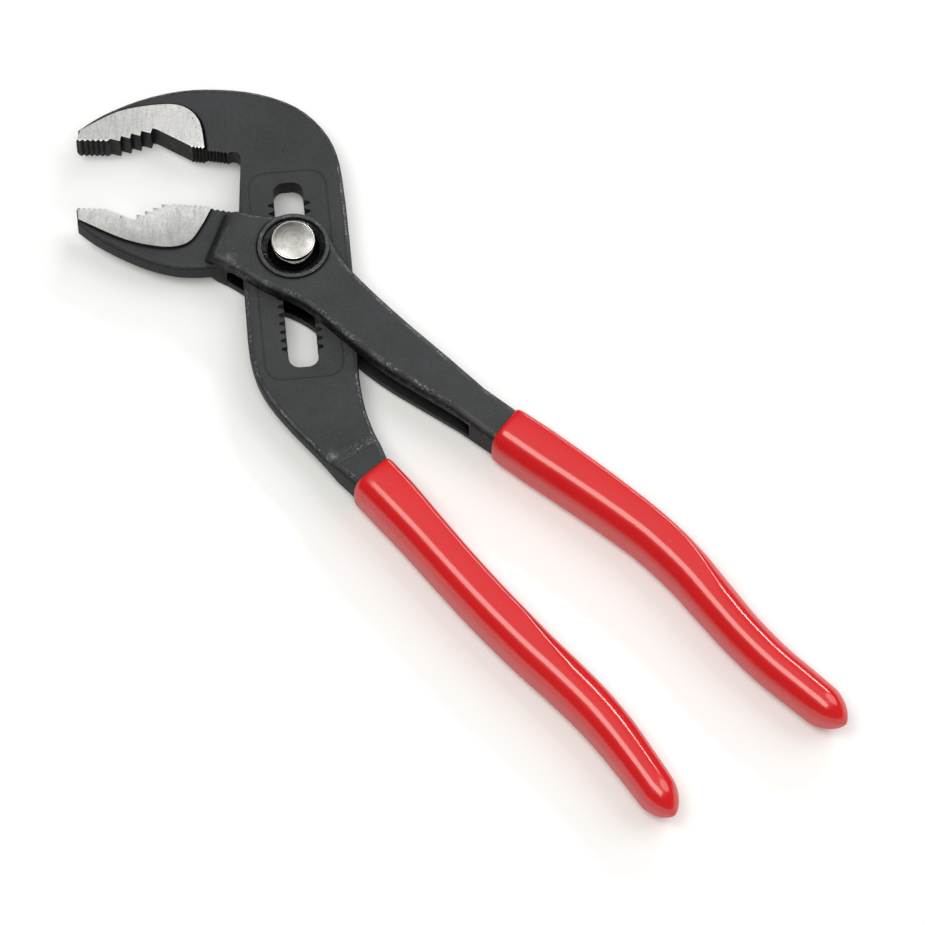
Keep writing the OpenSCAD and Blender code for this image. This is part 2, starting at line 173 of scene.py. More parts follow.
class Wire:
    """One node socket: arithmetic on it adds Math nodes to its tree."""

    def __init__(self, book: "NodeBook", socket: bpy.types.NodeSocket) -> None:
        """Keep the socket and the tree that it belongs to."""
        self.book = book
        self.socket = socket

    def _math(self, operation: str, *values: "Value") -> "Wire":
        """Add one Math node.

        Args:
            operation: the node's operation.
            values: its inputs in order.

        Returns:
            The node's result.
        """
        return self.book.add("ShaderNodeMath", {"operation": operation}, dict(enumerate(values)))

    def __add__(self, other: "Value") -> "Wire":
        """This value plus another."""
        return self._math("ADD", self, other)

    __radd__ = __add__

    def __sub__(self, other: "Value") -> "Wire":
        """This value less another."""
        return self._math("SUBTRACT", self, other)

    def __rsub__(self, other: "Value") -> "Wire":
        """Another value less this one."""
        return self._math("SUBTRACT", other, self)

    def __mul__(self, other: "Value") -> "Wire":
        """This value times another."""
        return self._math("MULTIPLY", self, other)

    __rmul__ = __mul__

    def __truediv__(self, other: "Value") -> "Wire":
        """This value over another."""
        return self._math("DIVIDE", self, other)

    def __rtruediv__(self, other: "Value") -> "Wire":
        """Another value over this one."""
        return self._math("DIVIDE", other, self)

    def __mod__(self, other: "Value") -> "Wire":
        """What is left of this value after whole steps of another."""
        return self._math("MODULO", self, other)

    def __abs__(self) -> "Wire":
        """The size of this value."""
        return self._math("ABSOLUTE", self)

    def floor(self) -> "Wire":
        """The whole number below this value."""
        return self._math("FLOOR", self)

    def cos(self) -> "Wire":
        """The cosine of this angle."""
        return self._math("COSINE", self)

    def sin(self) -> "Wire":
        """The sine of this angle."""
        return self._math("SINE", self)

    def sign(self) -> "Wire":
        """One with this value's sign."""
        return self._math("SIGN", self)

    def larger(self, other: "Value") -> "Wire":
        """The larger of this value and another."""
        return self._math("MAXIMUM", self, other)

    def step(self, low: float, high: float) -> "Wire":
        """Go smoothly from 0 to 1.

        Args:
            low: where the result leaves 0.
            high: where it reaches 1.

        Returns:
            The smooth step.
        """
        return self.book.add(
            "ShaderNodeMapRange",
            {"interpolation_type": "SMOOTHSTEP"},
            {"Value": self, "From Min": low, "From Max": high},
        )

    def fall(self, low: float, high: float) -> "Wire":
        """Go smoothly from 1 to 0 between two values."""
        return 1 - self.step(low, high)

    def past(self, border: Span) -> "Wire":
        """Go smoothly from 0 to 1 over a border in millimetres."""
        return self.step(border[0] * MM, border[1] * MM)

    def before(self, border: Span) -> "Wire":
        """Go smoothly from 1 to 0 over a border in millimetres."""
        return 1 - self.past(border)

    def about(self, middle: float, border: Span) -> "Wire":
        """Go smoothly from 1 to 0 over a border on both sides of a middle, all in millimetres."""
        return abs(self - middle * MM).before(border)


Value = Union[Wire, float, int]


@dataclass(frozen=True)
class Patches:
    """Noise that is drawn apart into bare and full patches.

    Attributes:
        size: width of the patches in millimetres.
        low: noise where they start.
        high: noise where they are full.
        detail: octaves of finer noise.
        rough: share of the finer octaves.
        share: strength of a full patch.
    """

    size: float
    low: float
    high: float
    detail: float = 3
    rough: float = 0.6
    share: float = 1.0


class NodeBook:
    """Adds nodes to one tree and joins their sockets."""

    def __init__(self, tree: bpy.types.NodeTree) -> None:
        """Keep the tree."""
        self.tree = tree

    def add(
        self,
        kind: str,
        settings: dict[str, Any] | None = None,
        inputs: dict[Any, Any] | None = None,
        out: int | str = 0,
    ) -> Wire:
        """Add a node.

        Args:
            kind: the node's type.
            settings: its properties, set first.
            inputs: values or wires of its sockets, by name or number.
            out: the output that is returned.

        Returns:
            A wire from that output.
        """
        node = self.tree.nodes.new(kind)
        for name, value in (settings or {}).items():
            setattr(node, name, value)
        for key, value in (inputs or {}).items():
            self.feed(node.inputs[key], value)
        return Wire(self, node.outputs[out] if node.outputs else None)

    def feed(self, socket: bpy.types.NodeSocket, value: Any) -> None:
        """Link a socket to a wire, or set its value.

        Args:
            socket: the socket.
            value: a wire or a plain value.
        """
        if isinstance(value, Wire):
            self.tree.links.new(value.socket, socket)
        else:
            socket.default_value = value

    def part(self, wire: Wire, name: str | int) -> Wire:
        """Another output of the node that a wire leaves."""
        return Wire(self, wire.socket.node.outputs[name])


class Paint(NodeBook):
    """A material's nodes, with the patterns that the finishes share; sizes are in millimetres."""

    SHELTER_RAYS = 8

    def __init__(self, name: str) -> None:
        """Make an empty material with a principled shader.

        Args:
            name: the material's name.
        """
        self.material = bpy.data.materials.new(name)
        self.material.use_nodes = True
        super().__init__(self.material.node_tree)
        self.shader = self.tree.nodes["Principled BSDF"]
        self.place = self.add("ShaderNodeTexCoord", out="Object")
        split = self.add("ShaderNodeSeparateXYZ", inputs={0: self.place})
        self.x, self.y, self.z = split, self.part(split, 1), self.part(split, 2)

    def noise(self, size: float, detail: float, rough: float, place: Wire | None = None) -> Wire:
        """Soft noise.

        Args:
            size: width of its patches.
            detail: octaves of finer noise.
            rough: share of the finer octaves.
            place: coordinates, Object ones when left out.

        Returns:
            The noise value.
        """
        sockets = {"Scale": 1 / (size * MM), "Detail": detail, "Roughness": rough}
        return self.add("ShaderNodeTexNoise", inputs={"Vector": place or self.place, **sockets})

    def patches(self, kind: Patches) -> Wire:
        """A mask of patches."""
        return self.noise(kind.size, kind.detail, kind.rough).step(kind.low, kind.high) * kind.share

    def stretched(self, turn: float, along: float, across: float) -> Wire:
        """Coordinates that draw a pattern out in one direction.

        Args:
            turn: angle of that direction from X, in degrees.
            along: scale along it.
            across: scale across it.

        Returns:
            The coordinates.
        """
        sockets = {"Rotation": (0, 0, math.radians(turn)), "Scale": (1 / along, 1 / across, 1)}
        return self.add("ShaderNodeMapping", {"vector_type": "TEXTURE"}, {"Vector": self.place, **sockets})

    def blend(self, share: Value, low: Any, high: Any) -> Wire:
        """Mix two colours.

        Args:
            share: how much of the second.
            low: the first colour or wire.
            high: the second colour or wire.

        Returns:
            The mixed colour.
        """
        first, second = ((*c, 1.0) if isinstance(c, tuple) else c for c in (low, high))
        return self.add("ShaderNodeMix", {"data_type": "RGBA"}, {0: share, 6: first, 7: second}, out=2)

    def fix(self, **sockets: Any) -> None:
        """Set or link sockets of the shader, with _ for a space in a name."""
        for name, value in sockets.items():
            self.feed(self.shader.inputs[name.replace("_", " ")], value)

    def bump(self, height: Wire, depth: float, strength: float) -> Wire:
        """A bumped normal.

        Args:
            height: the pattern.
            depth: its depth.
            strength: how much of it shows.

        Returns:
            The normal.
        """
        sockets = {"Strength": strength, "Distance": depth * MM, "Height": height}
        return self.add("ShaderNodeBump", inputs=sockets)

    def reach(self, x: float = 0.0, y: float = 0.0) -> Wire:
        """Distance from an upright axis.

        Args:
            x: place of the axis, the joint's own when left out.
            y: the same.

        Returns:
            The distance in metres.
        """
        flat = self.add("ShaderNodeCombineXYZ", inputs={0: self.x - x * MM, 1: self.y - y * MM})
        return self.add("ShaderNodeVectorMath", {"operation": "LENGTH"}, {0: flat}, out="Value")

    def shelter(self, size: float) -> Wire:
        """How far a place is closed in by its own piece.

        Args:
            size: distance within which the piece counts.

        Returns:
            The share, from 0 to 1.
        """
        own = {"samples": self.SHELTER_RAYS, "only_local": True}
        return 1 - self.add("ShaderNodeAmbientOcclusion", own, {"Distance": size * MM}, out="AO")

    def tilt(self) -> Wire:
        """How far the surface faces up or down, from 0 to 1."""
        normal = self.add("ShaderNodeNewGeometry", out="Normal")
        return abs(self.part(self.add("ShaderNodeSeparateXYZ", inputs={0: normal}), 2))


class Finish:
    """A finish that is laid on a material's nodes."""

    def material(self, name: str) -> bpy.types.Material:
        """Build the finish.

        Args:
            name: the material's name.

        Returns:
            The material.
        """
        p = Paint(name)
        self.dress(p)
        return p.material

    def dress(self, p: Paint) -> None:
        """Lay the finish on a material's nodes."""
        raise NotImplementedError


class LegMap:
    """Masks of the regions on a forged leg, each made once."""

    def __init__(self, p: Paint) -> None:
        """Keep the material's nodes."""
        self.p = p

    @cached_property
    def tilt(self) -> Wire:
        """How far the surface faces up or down."""
        return self.p.tilt()

    @cached_property
    def height(self) -> Wire:
        """Distance from the tool's middle plane."""
        return abs(self.p.z - TOOL.middle * MM)

    @cached_property
    def past_neck(self) -> Wire:
        """Distance from the valley's line, larger towards the box."""
        (x, y), (along_x, along_y) = TOOL.valley, TOOL.valley_way
        return (self.p.x - x * MM) * along_x + (self.p.y - y * MM) * along_y

    @cached_property
    def jaw(self) -> Wire:
        """The lower jaw with its neck."""
        return self.p.x.past(TOOL.jaw).larger(self.past_neck.before(TOOL.neck_end))

    @cached_property
    def valley(self) -> Wire:
        """The valley between that neck and the box."""
        return abs(self.past_neck).before(TOOL.valley_side)

    @cached_property
    def bead(self) -> Wire:
        """The top of the ring round the button."""
        return self.p.reach().about(TOOL.ring, TOOL.ring_side) * self.p.z.past(TOOL.ring_top)

    @cached_property
    def pads(self) -> Wire:
        """The ground faces on both sides of a jaw."""
        return self.height.past(TOOL.pad_rise) * self.p.x.past(TOOL.pad_start)

    @cached_property
    def shaded_hollows(self) -> Wire:
        """Painted shade: the box's slit and the button's well turn black, fainter along the handle and on the
        well's ledge.

        Returns:
            The mask of both.
        """
        faces = self.height.before(TOOL.slit_face) * (1 - self.p.x.past(TOOL.slit_fade) * 0.45)
        slit = self.height.before(TOOL.slit_wall).larger(faces)
        slit = slit * self.past_neck.past(TOOL.slit_start) * self.p.x.before(TOOL.slit_end)
        reach = self.p.reach()
        return slit.larger(1 - (reach.past(TOOL.ledge) * 0.16 + reach.past(TOOL.well) * 0.84))


@dataclass(frozen=True)
class BlackSteel(Finish):
    """Blackened forging with ground jaw pads and fine bright specks along its worn edges, with painted shade
    on its walls, in its corners and hollows, and a painted reflection on its pads.

    Attributes:
        colour: the blackened skin.
        side: share of that colour left on upright walls, which are painted darker as shade.
        rubbed: skin that is rubbed thin along rounded edges.
        bare: steel that shows where the skin is worn.
        pad: ground steel of the jaw pads.
        scratched: bottom of the scratches in it.
        pit: bottom of the pits in it.
        pad_sheen_low: share of that tone at the darker end of the pads' painted reflection.
        pad_sheen_way: direction along which the pads are painted lighter, a painted reflection.
        pad_sheen_ends: where that painted reflection goes from its darker end to full along that direction,
            in millimetres.
        pad_turn: direction of the grinding marks, in degrees.
        box: whether the leg has the joint's box, whose slit and well are painted black as shade.
        corner: shelter between which a narrow corner is painted black as shade.
        track: height of the slope round a guide track, painted darker there as shade, in millimetres, or 0
            without one.
        scuff: x and y of a scuffed spot, in millimetres, where there is one.
        scuff_share: how much of that scuff shows.
        scuff_side: distance from that spot where the scuff ends, in millimetres.
        scuff_wander: how far its outline wanders, in millimetres.
        clouds: lighter clouds in the skin.
        blotches: unevenness of the skin on upright walls.
        rubs: stretches of the edges that are rubbed thin.
        worn_edges: stretches of the edges that are worn to specks.
        worn_teeth: worn places on the teeth.
        worn_cheek: worn places on the side of the front cheek.
        worn_ring: worn places on the ring round the button.
        strays: worn places anywhere.
        specks: bright specks in all those places.
        scuff_specks: bright specks in the scuff.
        pad_specks: dark specks on the pads.
        pad_pits: pits in them.
    """

    colour: Colour = (0.0463, 0.0483, 0.0515)
    side: float = 0.28
    rubbed: Colour = (0.108, 0.112, 0.117)
    bare: Colour = (0.215, 0.222, 0.230)
    pad: Colour = (0.96, 0.955, 0.94)
    scratched: Colour = (0.36, 0.36, 0.355)
    pit: Colour = (0.05, 0.05, 0.05)
    pad_sheen_low: float = 0.72
    pad_sheen_way: Span = (0.71, 0.70)
    pad_sheen_ends: Span = (-42.0, -18.0)
    pad_turn: float = 135.0
    box: bool = False
    corner: Span = (0.02, 0.13)
    track: float = 0.0
    scuff: Span | None = None
    scuff_share: float = 1.0
    scuff_side: Span = (0.3, 1.6)
    scuff_wander: float = 3.0
    clouds: Patches = Patches(10, 0.3, 0.75, 4, share=0.45)
    blotches: Patches = Patches(0.9, 0.3, 0.7, rough=0.65, share=0.32)
    rubs: Patches = Patches(6, 0.40, 0.66, 4, 0.65, 0.55)
    worn_edges: Patches = Patches(4.5, 0.41, 0.6)
    worn_teeth: Patches = Patches(2.1, 0.58, 0.7, share=0.3)
    worn_cheek: Patches = Patches(2.6, 0.46, 0.6, share=0.42)
    worn_ring: Patches = Patches(1.1, 0.55, 0.68, rough=0.65, share=0.6)
    strays: Patches = Patches(1.6, 0.68, 0.78, rough=0.7, share=0.3)
    specks: Patches = Patches(0.42, 0.48, 0.66, 2)
    scuff_specks: Patches = Patches(0.7, 0.45, 0.62, 2, share=0.7)
    pad_specks: Patches = Patches(0.4, 0.42, 0.72, 2, share=0.3)
    pad_pits: Patches = Patches(1.2, 0.775, 0.80, 1, 0.5, 0.8)

    def dress(self, p: Paint) -> None:
        """Lay the finish on a material's nodes.

        Args:
            p: those nodes.
        """
        leg = LegMap(p)
        grain = p.noise(0.30, 3, 0.6)
        edge = leg.tilt.step(0.4, 0.85) * leg.tilt.fall(0.9, 0.995)
        if self.box:
            edge = edge * (1 - leg.jaw * 0.9)
        wear = self._wear(leg, edge)
        crevice_shade = self._crevice_shade(leg)
        dark = self._wall_shade(leg).larger(crevice_shade)
        skin = p.blend(
            p.patches(self.clouds) + grain.step(0.3, 0.7) * 0.55,
            shaded(self.colour, 0.74),
            shaded(self.colour, 1.24),
        )
        # the painted shade of walls and corners takes the skin towards black
        shade = p.blend(self._rub(leg, edge), p.blend(dark, skin, SHADE_BLACK), self.rubbed)
        p.fix(
            Base_Color=p.blend(leg.pads, p.blend(wear, shade, self.bare), self._ground_tone_and_sheen(p)),
            # painted shade: shaded places are made metallic, so their black base colour loses its sheen too
            Metallic=(leg.pads * 0.9).larger(dark * 0.65).larger(crevice_shade * 0.95),
            Roughness=0.55 + (grain - 0.5) * 0.22 - wear * 0.12 - leg.pads * 0.17,
            Specular_IOR_Level=0.16,
            Normal=p.bump(grain + 3 * p.noise(1.6, 2, 0.5) * (1 - leg.pads), 0.02, 0.5),
        )

    def _wall_shade(self, leg: LegMap) -> Wire:
        """Mask of painted shade: darker skin on upright walls, in the valley and round the guide track, and a
        little darker skin on the lower jaw.

        Args:
            leg: masks of the leg's regions.

        Returns:
            The mask, blotched on the walls.
        """
        blotch = leg.p.patches(self.blotches) - self.blotches.share / 2
        # painted shade: upright walls are darker than faces that look up
        walls = leg.tilt.fall(0.25, 0.8) * (1 - self.side + blotch)
        if self.track:
            # painted shade: a dark line along the slope round the guide track
            walls = walls.larger(leg.p.z.about(self.track, TOOL.track_side) * 0.22)
        if self.box:
            # painted shade in the valley between neck and box; the lower jaw's skin a little darker
            walls = (walls * (1 - leg.jaw * 0.2)).larger(leg.valley * 0.42).larger(leg.jaw * 0.13)
        return walls

    def _crevice_shade(self, leg: LegMap) -> Wire:
        """Mask of painted shade: places that the piece closes in turn black, as do the box's slit and well.

        Args:
            leg: masks of the leg's regions.

        Returns:
            The mask.
        """
        # painted shade: places closed in by the piece turn black
        wide = leg.p.shelter(4).step(0.15, 0.55) * 0.95
        corners = wide.larger(leg.p.shelter(0.7).step(*self.corner))
        return (corners * (1 - leg.jaw * 0.4)).larger(leg.shaded_hollows) if self.box else corners

    def _rub(self, leg: LegMap, edge: Wire) -> Wire:
        """Mask of the skin that is rubbed thin.

        Args:
            leg: masks of the leg's regions.
            edge: mask of its rounded edges.

        Returns:
            The mask.
        """
        rub = edge * leg.p.patches(self.rubs)
        return rub.larger(leg.bead * 0.3) * (1 - leg.valley) if self.box else rub

    def _wear(self, leg: LegMap, edge: Wire) -> Wire:
        """Mask of the specks along edges, on teeth, ring and cheek, with strays on the faces.

        Args:
            leg: masks of the leg's regions.
            edge: mask of its rounded edges.

        Returns:
            The mask.
        """
        p = leg.p
        teeth = leg.tilt.fall(0.1, 0.3) * p.x.past(TOOL.teeth) * p.patches(self.worn_teeth)
        worn = (edge * p.patches(self.worn_edges)).larger(p.patches(self.strays)).larger(teeth)
        if self.box:
            flank = leg.tilt.fall(0.3, 0.6) * p.z.past(TOOL.cheek_top) * (1 - leg.jaw)
            worn = worn.larger(flank * p.patches(self.worn_cheek))
        worn = worn * p.patches(self.specks)
        if self.box:
            worn = worn.larger(leg.bead * p.patches(self.worn_ring))
        return worn.larger(self._scuffed(p)) if self.scuff else worn

    def _scuffed(self, p: Paint) -> Wire:
        """Mask of the scuffed spot, with a rough outline.

        Args:
            p: the material's nodes.

        Returns:
            The mask.
        """
        away = p.reach(*self.scuff) + (p.noise(1.4, 3, 0.6) - 0.5) * (self.scuff_wander * MM)
        rough = (0.16 + p.patches(self.scuff_specks)) * self.scuff_share
        return away.before(self.scuff_side) * rough * p.z.past(TOOL.face_top)

    def _ground_tone_and_sheen(self, p: Paint) -> Wire:
        """Colour of the pads, with cloudy grinding marks, scratches and a few pits, and a painted reflection
        that makes them lighter towards one side.

        Args:
            p: the material's nodes.

        Returns:
            The colour.
        """
        along_x, along_y = self.pad_sheen_way
        # painted reflection: the pads grow lighter along one direction
        lift = (p.x * along_x + p.y * along_y).past(self.pad_sheen_ends)
        marks = p.noise(1.6, 4, 0.65, p.stretched(self.pad_turn, 0.5, 1.3))
        cloud, grit = p.noise(5.2, 5, 0.66), p.noise(0.5, 2, 0.6)
        tone = lift * 0.8 + 0.1 + (marks - 0.5) * 0.6 + (cloud - 0.5) * 1.2 + (grit - 0.5) * 0.4
        metal = p.blend(tone, shaded(self.pad, self.pad_sheen_low), self.pad)
        scratches = p.noise(1.1, 4, 0.7, p.stretched(self.pad_turn, 0.3, 2.0)).step(0.46, 0.74)
        worn = scratches * 0.4 + p.patches(self.pad_specks)
        return p.blend(p.patches(self.pad_pits), p.blend(worn, metal, self.scratched), self.pit)


@dataclass(frozen=True)
class TurnedSteel(Finish):
    """Bright steel turned on a lathe: fine rings round the joint's axis; on the button, painted shade in the
    groove under its face and painted highlights on the face's rim and on the lip.

    Attributes:
        colour: the metal.
        ring: width of one ring in millimetres.
        depth: depth of the rings in millimetres.
        rough: roughness between the rings.
        groove: heights between which the groove under the face is painted black as shade, in millimetres.
        groove_shade: that black.
        lip: near-white, hardly metallic colour below the groove, a painted highlight.
        rim_highlight: lighter metal towards the rim of a face, a painted highlight.
        rim_highlight_start: radii between which that painted highlight starts, in millimetres.
        border: half the height of the groove's soft borders, in millimetres.
    """

    colour: Colour = (0.83, 0.81, 0.755)
    ring: float = 0.42
    depth: float = 0.012
    rough: float = 0.22
    groove: Span = (0.0, 0.0)
    groove_shade: Colour = (0.02, 0.02, 0.02)
    lip: Colour = (0.95, 0.94, 0.91)
    rim_highlight: Colour = (0.98, 0.97, 0.93)
    rim_highlight_start: Span = (3.5, 3.95)
    border: float = 0.02

    def dress(self, p: Paint) -> None:
        """Lay the finish on a material's nodes.

        Args:
            p: those nodes.
        """
        reach = p.reach()
        wander = reach / (self.ring * MM) + p.noise(4, 2, 0.5) * 1.2
        line = {"W": wander, "Scale": 1.0, "Detail": 2.0}
        rings = p.add("ShaderNodeTexNoise", {"noise_dimensions": "1D"}, line)
        stain = p.noise(2.6, 4, 0.62)
        metal = p.blend(
            stain.step(0.3, 0.7) * 0.6 + rings.step(0.3, 0.7) * 0.4,
            shaded(self.colour, 0.82),
            shaded(self.colour, 1.15),
        )
        if self.groove[1]:
            # painted highlight round the rim of the button's face
            metal = p.blend(reach.past(self.rim_highlight_start) * 0.55, metal, self.rim_highlight)
        above, beyond = (p.z.past((h - self.border, h + self.border)) for h in self.groove)
        # painted shade: the groove under the button's face turns black
        groove_shade = above * (1 - beyond)
        p.fix(
            # painted highlight: below the groove the lip is near-white and hardly metallic
            Base_Color=p.blend(groove_shade, p.blend(above, self.lip, metal), self.groove_shade),
            Metallic=0.1 + above * 0.9,
            Roughness=self.rough + (stain - 0.5) * 0.16 + groove_shade * 0.3,
            Normal=p.bump(rings, self.depth, 0.7),
        )


@dataclass(frozen=True)
class DippedPlastic(Finish):
    """Glossy dipped plastic with a faint orange-peel skin, duller on the sides that a hand rubs.

    Attributes:
        colour: the plastic.
        dusty: colour of dust on it.
        dust: specks of that dust.
        rough: its roughness on top.
        rubbed: what the sides add to it.
    """

    colour: Colour = (0.66, 0.010, 0.012)
    dusty: Colour = (0.75, 0.2, 0.18)
    dust: Patches = Patches(1.1, 0.69, 0.78, 2)
    rough: float = 0.165
    rubbed: float = 0.22

    def dress(self, p: Paint) -> None:
        """Lay the finish on a material's nodes.

        Args:
            p: those nodes.
        """
        cloud = p.noise(9, 3, 0.5)
        dust = p.patches(self.dust)
        tone = p.blend(cloud, shaded(self.colour, 0.94, 0.85, 0.85), shaded(self.colour, 1.05, 1.25, 1.25))
        sides = p.tilt().fall(0.35, 0.75) * self.rubbed
        p.fix(
            Base_Color=p.blend(dust * 0.12, tone, self.dusty),
            Roughness=self.rough + (cloud - 0.5) * 0.05 + dust * 0.1 + sides,
            Specular_IOR_Level=0.85,
            Normal=p.bump(p.noise(3.5, 2, 0.5), 0.014, 0.2),
        )


@dataclass(frozen=True)
class SpringWire(Finish):
    """Bright drawn wire.

    Attributes:
        colour: the metal.
        rough: its roughness.
    """

    colour: Colour = (0.55, 0.54, 0.52)
    rough: float = 0.32

    def dress(self, p: Paint) -> None:
        """Lay the finish on a material's nodes.

        Args:
            p: those nodes.
        """
        draw = p.noise(0.4, 3, 0.6)
        p.fix(
            Base_Color=p.blend(draw, shaded(self.colour, 0.8), shaded(self.colour, 1.15)),
            Metallic=1.0,
            Roughness=self.rough + (draw - 0.5) * 0.15,
        )


@dataclass(frozen=True)
class PaleFloor(Finish):
    """White paper under the tool: part of its white is even, so its shadows stay soft.

    Attributes:
        colour: share that takes light and shadow.
        glow: even share, seen only by the camera and in reflections.
    """

    colour: Colour = (0.815, 0.825, 0.835)
    glow: float = 0.11

    def dress(self, p: Paint) -> None:
        """Lay the finish on a material's nodes.

        Args:
            p: those nodes.
        """
        path = p.add("ShaderNodeLightPath", out="Is Camera Ray")
        seen = path.larger(p.part(path, "Is Glossy Ray")).larger(p.part(path, "Is Transmission Ray"))
        p.fix(
            Base_Color=p.blend(p.noise(20, 2, 0.5), shaded(self.colour, 0.995), self.colour),
            Roughness=1.0,
            Specular_IOR_Level=0.0,
            Emission_Color=p.blend(seen, (0.0, 0.0, 0.0), shaded(WHITE, self.glow)),
            Emission_Strength=1.0,
        )


class GeometryBook(NodeBook):
    """A Geometry Nodes tree with named inputs, run once on a mesh and baked."""

    def __init__(self, name: str, sizes: Sequence[str]) -> None:
        """Make a tree.

        Args:
            name: the tree's name.
            sizes: names of its number inputs.
        """
        super().__init__(bpy.data.node_groups.new(name, "GeometryNodeTree"))
        face = self.tree.interface
        face.new_socket("Geometry", in_out="INPUT", socket_type="NodeSocketGeometry")
        face.new_socket("Geometry", in_out="OUTPUT", socket_type="NodeSocketGeometry")
        self.sizes = {
            n: face.new_socket(n, in_out="INPUT", socket_type="NodeSocketFloat").identifier for n in sizes
        }
        self.start = self.add("NodeGroupInput")

    def size(self, name: str) -> Wire:
        """A number input of the tree."""
        return self.part(self.start, name)

    def close(self, geometry: Wire, material: bpy.types.Material) -> None:
        """End the tree.

        Args:
            geometry: what the tree has made.
            material: the finish that its faces get.
        """
        smooth = self.add("GeometryNodeSetShadeSmooth", inputs={0: geometry})
        real = self.add("GeometryNodeRealizeInstances", inputs={0: smooth})
        dressed = self.add("GeometryNodeSetMaterial", inputs={"Geometry": real, "Material": material})
        self.add("NodeGroupOutput", inputs={0: dressed})

    def bake(self, name: str, seed: bpy.types.Mesh, values: dict[str, float]) -> bpy.types.Object:
        """Run the tree on a mesh and keep the result as a plain mesh, with its faces outwards.

        Args:
            name: name of the finished object.
            seed: mesh that the tree starts from.
            values: its number inputs by name.

        Returns:
            The finished object, at the origin.
        """
        carrier = placed(name, seed)
        modifier = carrier.modifiers.new("shape", "NODES")
        modifier.node_group = self.tree
        for key, value in values.items():
            modifier[self.sizes[key]] = value
        bpy.context.view_layer.update()
        done = carrier.evaluated_get(bpy.context.evaluated_depsgraph_get())
        mesh = bpy.data.meshes.new_from_object(done)
        carrier.modifiers.remove(modifier)
        carrier.data = mesh
        mesh.name = name
        bpy.data.meshes.remove(seed)
        self._turn_outward(mesh)
        return carrier

    @staticmethod
    def _turn_outward(mesh: bpy.types.Mesh, weld: float = 1e-6) -> None:
        """Turn a closed mesh's faces outwards and shade them smooth.

        Args:
            mesh: the mesh.
            weld: distance within which its points are merged first, in metres.
        """
        bm = bmesh.new()
        bm.from_mesh(mesh)
        bmesh.ops.remove_doubles(bm, verts=bm.verts, dist=weld)
        bmesh.ops.recalc_face_normals(bm, faces=bm.faces)
        if bm.calc_volume(signed=True) < 0:
            bmesh.ops.reverse_faces(bm, faces=bm.faces)
        for face in bm.faces:
            face.smooth = True
        bm.to_mesh(mesh)
        bm.free()


@dataclass
class SkinRow:
    """One round-edged section of a skin.

    Attributes:
        centre: middle of the section.
        across: direction of its width.
        up: direction of its height.
        wide: half its width.
        high: half its height.
        near: radius of its upper corner on the side that it is measured towards.
        far: width of the other upper corner.
        tall: height of the other upper corner.
        under: radius of its lower corners.
    """

    centre: Vector
    across: Vector
    up: Vector
    wide: float
    high: float
    near: float
    far: float
    tall: float
    under: float


